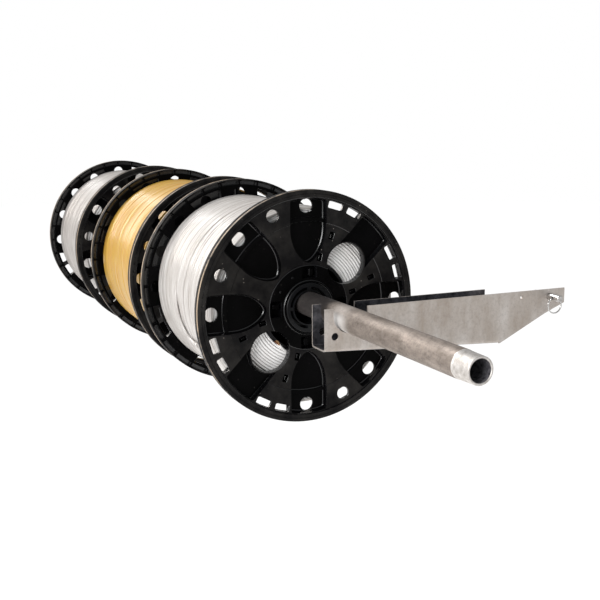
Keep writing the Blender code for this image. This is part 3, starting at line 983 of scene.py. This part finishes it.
bm.faces.ensure_lookup_table()
for index, face in enumerate(bm.faces):
    face.material_index = 0 if index < jacket_faces else 1 if index < paper_faces else 2
inner_end = to_mesh(bm, "inner_end", 60.0)
print("loose ends", len(outer_end.polygons), len(inner_end.polygons))

# %% [markdown]
# ## Setting the reels on the pipe
#
# Each piece of a reel rides on its reel's body, so it turns with it, and stands
# for the plain solid of the same name. The reel's axis is the middle of its
# front bush's box. Each flange is turned to its own clock angle.

# %% Place three reels
# The top jacket is the painted-shade copy and the inner one the painted-light copy.
# Winding radius, top and inner jackets, seed and the clock angle of the steps.
reel_makeup = {1: (173.0, shaded_copy_white_pvc, lit_copy_white_pvc, 11, -118.0),
               2: (180.0, shaded_copy_yellow_pvc, lit_copy_yellow_pvc, 23, -60.0),
               3: (177.0, far_shaded_white_pvc, lit_copy_white_pvc, 37, 40.0)}
turned_by = {1: (0.0, 90.0), 2: (0.0, 90.0), 3: (11.0, 87.5)}
grades = (rubbed_pp, recess_shade_pp, edge_pp, rim_highlight_paint)  # RUBBED, RECESS_SHADE, POLISHED, RIM_HIGHLIGHT
slots = {1: "white_jacket", 2: "yellow_jacket", 3: "white_jacket"}
for number, (outer, jacket, brighter, seed, step_at) in reel_makeup.items():
    body = f"reel_{number}"
    low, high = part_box(f"{body}_front_bush")
    front = high.x
    axis_y, axis_z = (low.y + high.y) / 2, (low.z + high.z) / 2
    front_at = Vector((front, axis_y, axis_z))
    rear_at = front_at - Vector((REEL_W * MM, 0, 0))
    middle = (front_at + rear_at) / 2
    front_turn, rear_turn = (math.radians(a) for a in turned_by[number])
    made = [
        (show(f"{body}_front_flange_moulding", flange.copy(), *grades), front_at,
         (front_turn, 0, 0), "front_flange", "flange_plastic"),
        (show(f"{body}_rear_flange_moulding", flange.copy(), *grades), rear_at,
         (rear_turn, 0, math.pi), "rear_flange", "flange_plastic"),
        (show(f"{body}_front_bush_turned", bush.copy(), black_nylon), front_at,
         (front_turn, 0, 0), "front_bush", "bush_plastic"),
        (show(f"{body}_rear_bush_turned", bush.copy(), black_nylon), rear_at,
         (rear_turn, 0, math.pi), "rear_bush", "bush_plastic"),
        (show(f"{body}_barrel", barrel.copy(), black_nylon),
         front_at - Vector((FLANGE_T * MM, 0, 0)), (0, 0, 0), "drum", "bush_plastic"),
        (show(f"{body}_inner_windings", winding_core(outer, seed), brighter), middle,
         (0, 0, 0), "cable", slots[number]),
        (show(f"{body}_top_windings", top_layer(outer, seed, step_at), jacket), middle,
         (0, 0, 0), "cable", slots[number])]
    if number == 1:
        made += [(show("reel_1_outer_cable_end", outer_end, jacket), middle, (0, 0, 0),
                  "cable", slots[1]),
                 (show("reel_1_inner_cable_end", inner_end, brighter, kraft_paper, bare_copper),
                  middle, (0, 0, 0), "cable", slots[1])]
    for piece, place, rotation, node, slot in made:
        piece.location = place
        piece.data.transform(Euler(rotation).to_matrix().to_4x4())
        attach(piece, body)
        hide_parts(f"{body}_{node}")
    print(body, "front at", round(front, 4))

# %% [markdown]
# ## The pipe
#
# The axle is heavy 1 1/4 inch pipe. Its near end carries a taper thread, eleven
# and a half to the inch, so a groove every 2.2 mm, worn shallow. The far end is
# sawn off plain. Skin, thread and bore are three finishes of one turned tube.

# %% Axle pipe
low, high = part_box("axle_pipe")
pipe_length = (high.x - low.x) / MM
PIPE_R, BORE_R, SKIN_AT = 21.08, 16.25, 39.0
THREAD_PITCH, THREAD_TIP_R, TAPER, GROOVE = 2.2, 19.75, 0.0235, 0.42
profile = [(-0.9, BORE_R), (0.0, 17.1), (0.0, 19.0)]
for i in range(16):
    x = -0.9 - i * THREAD_PITCH
    crest = THREAD_TIP_R + TAPER * (-x)
    root = crest - GROOVE
    profile += [(x, crest), (x - 0.8, crest), (x - 1.2, root), (x - 1.8, root)]
profile += [(-36.2, 20.6), (-38.0, 21.0), (-SKIN_AT, PIPE_R)]
for k in range(1, 40):
    profile.append((-SKIN_AT - k * (pipe_length - 40.0) / 40.0, PIPE_R))
profile += [(-pipe_length + 0.8, PIPE_R), (-pipe_length, 20.4), (-pipe_length, 17.0),
            (-pipe_length + 0.8, BORE_R)]
print("pipe profile points", len(profile))

# %% Turn the pipe
bm = bmesh.new()
turned(bm, profile, 72)
for face in bm.faces:
    centre = face.calc_center_median()
    radius = math.hypot(centre.y, centre.z)
    if radius < 16.4:
        face.material_index = 2
    elif centre.x > -37.5 or centre.x < -pipe_length + 0.5:
        face.material_index = 1
pipe = show("axle_pipe_turned", to_mesh(bm, "axle_pipe_turned", 40.0),
            pipe_skin, cut_thread, pipe_bore)
pipe.location = (high.x, (low.y + high.y) / 2, (low.z + high.z) / 2)
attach(pipe, "axle")
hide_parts("axle_pipe")
print("pipe", round(pipe_length), "mm long")

# %% [markdown]
# ## The brackets
#
# Each bracket is cut from 2.7 mm sheet, pierced, and folded to a channel. A
# round-bottomed notch in both legs cradles the pipe, and the near leg runs on
# past the stud as a tapered tail. It is drawn as the folded section swept
# along the slope, and then the tail is joined on and the notch and holes are
# cut. A narrow bevel takes the sharpness off the sheared edges.

# %% Bracket
SHEET, HALF_W, BEND_R = 2.7, 24.0, 6.0
TOP_Z, NOSE_Y, NOSE_Z, SEAT_Z = 85.5, -332.0, 16.2, -1.35


def channel_section(height, steps=10):
    """Folded section as (x, z) above the web's underside."""
    outer, inner = [], []
    bend_x, inner_r = HALF_W - BEND_R, BEND_R - SHEET
    for i in range(steps + 1):
        angle = math.radians(90.0 * i / steps)
        s, c = math.sin(angle), math.cos(angle)
        outer.append((bend_x + BEND_R * c, BEND_R - BEND_R * s))
        inner.append((bend_x + inner_r * c, BEND_R - inner_r * s))
    outer += [(-x, z) for x, z in reversed(outer)]
    inner += [(-x, z) for x, z in reversed(inner)]
    start = [(HALF_W, height)] + outer + [(-HALF_W, height), (SHEET - HALF_W, height)]
    return start + inner[::-1] + [(HALF_W - SHEET, height)]


bm = bmesh.new()
section = channel_section(TOP_Z - NOSE_Z)
nose = [bm.verts.new((x, NOSE_Y, NOSE_Z + z)) for x, z in section]
seat = [bm.verts.new((x, 0.0, TOP_Z if z > 60.0 else SEAT_Z + z)) for x, z in section]
for i in range(len(section)):
    j = (i + 1) % len(section)
    bm.faces.new((nose[i], nose[j], seat[j], seat[i]))
bm.faces.new(nose)
bm.faces.new(seat)
channel = to_mesh(bm, "channel")
tail = [(-8.0, 9.0), (-0.5, 7.0), (0.0, -1.3), (2.0, -1.5), (39.6, 16.5),
        (96.0, 43.4), (136.4, 59.5), (136.4, 85.5), (-8.0, 85.5)]
bm = bmesh.new()
lofted(bm, tail, [(HALF_W - SHEET, 0.0), (HALF_W, 0.0)])
channel = combined(channel, to_mesh(bm, "tail_tool"), "UNION")
print("channel and tail", len(channel.polygons))

# %% Cradle notch and holes
CRADLE_Y, CRADLE_R, CRADLE_Z = -286.5, 30.6, 74.7
NOSE_HOLE, TAIL_HOLE = (-313.9, 40.3, 6.25), (44.1, 75.1, 2.35)
PIN_Y, PIN_Z, PIN_HOLE_R = 104.0, 72.4, 6.1
notch = [(CRADLE_Y + CRADLE_R, 95.0), (CRADLE_Y - CRADLE_R, 95.0)]
notch += [(CRADLE_Y + CRADLE_R * math.cos(math.pi + math.pi * i / 40),
           CRADLE_Z + CRADLE_R * math.sin(math.pi + math.pi * i / 40)) for i in range(41)]
bm = bmesh.new()
lofted(bm, notch, [(-30.0, 0.0), (30.0, 0.0)])
lofted(bm, circle(*NOSE_HOLE, 40), [(-30.0, 0.0), (30.0, 0.0)])
lofted(bm, circle(*TAIL_HOLE, 20), [(10.0, 0.0), (30.0, 0.0)])
lofted(bm, circle(PIN_Y, PIN_Z, PIN_HOLE_R, 40), [(10.0, 0.0), (30.0, 0.0)])
channel = combined(channel, to_mesh(bm, "pierce_tool"), "DIFFERENCE")
# Faces inside the legs take the much darker zinc.
for polygon in channel.polygons:
    centre = polygon.center / MM
    inside_legs = abs(centre.x) < HALF_W - SHEET + 0.1 and centre.y < 0.5
    polygon.material_index = 1 if inside_legs and centre.y > NOSE_Y + 0.5 else 0
print("bracket faces", len(channel.polygons))

# %% [markdown]
# The pin behind the stud is turned from bar, with a lead at its inner end, a
# fine centre hole from the lathe and a cross hole near its tip. Its pull ring
# is a split ring: two turns of flattened spring wire, side by side.

# %% Stud pin and split ring
PIN_R, CROSS_X, CROSS_R, RING_R, CENTRE_R = 5.8, 39.0, 2.6, 13.9, 0.35
bm = bmesh.new()
turned(bm, [(-18.0, CENTRE_R), (-18.0, 3.6), (-17.0, 4.6), (-15.4, 5.6), (-14.6, PIN_R),
            (52.2, PIN_R), (53.2, 5.4), (54.0, 4.4), (54.0, CENTRE_R)], 48)
pin = to_mesh(bm, "pin_blank")
bm = bmesh.new()
hole = circle(CROSS_X, 0.0, CROSS_R, 24)
low_ring = [bm.verts.new((x, -12.0, z)) for x, z in hole]
high_ring = [bm.verts.new((x, 12.0, z)) for x, z in hole]
for i in range(24):
    j = (i + 1) % 24
    bm.faces.new((low_ring[i], low_ring[j], high_ring[j], high_ring[i]))
bm.faces.new(low_ring)
bm.faces.new(high_ring)
pin = combined(pin, to_mesh(bm, "pin_tool"), "DIFFERENCE")


def split_ring():
    """Two turns of flattened spring wire, side by side."""
    path = []
    steps = 144
    for k in range(steps + 1):
        angle = math.tau * 2.0 * k / steps
        side = -0.52 + 1.04 * min(max((k / steps - 0.46) / 0.08, 0.0), 1.0)
        radial = Vector((0, math.sin(angle), math.cos(angle)))
        path.append((Vector((side, 0, 0)) + radial * RING_R, radial, Vector((1, 0, 0))))
    bm = bmesh.new()
    swept(bm, path, strip_section(2.2, 1.0, 4))
    return to_mesh(bm, "split_ring", 50.0)


ring = split_ring()
print("pin faces", len(pin.polygons), "ring faces", len(ring.polygons))

# %% Place both brackets
RING_Z = 59.1
for side in ("near", "far"):
    low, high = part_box(f"{side}_bracket")
    x = (low.x + high.x) / 2
    made = [(show(f"{side}_bracket_folded", channel.copy(), zinc_sheet, inner_darker_zinc),
             (x, 0, 0), "brackets", f"{side}_bracket", "zinc_sheet"),
            (show(f"{side}_pin_turned", pin.copy(), zinc_plate),
             (x, PIN_Y * MM, PIN_Z * MM), f"{side}_pin", f"{side}_stud_pin", "pin_steel"),
            (show(f"{side}_split_ring", ring.copy(), spring_wire),
             (x + CROSS_X * MM, PIN_Y * MM, RING_Z * MM),
             f"{side}_ring", f"{side}_pull_ring", "ring_wire")]
    for piece, place, body, node, slot in made:
        piece.location = place
        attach(piece, body)
        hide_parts(node)
    bevel = made[0][0].modifiers.new("eased_edges", "BEVEL")
    bevel.width = 0.0003
    bevel.segments = 2
    bevel.limit_method = "ANGLE"
    bevel.angle_limit = math.radians(50)
    print(side, "bracket at", round(x, 4))
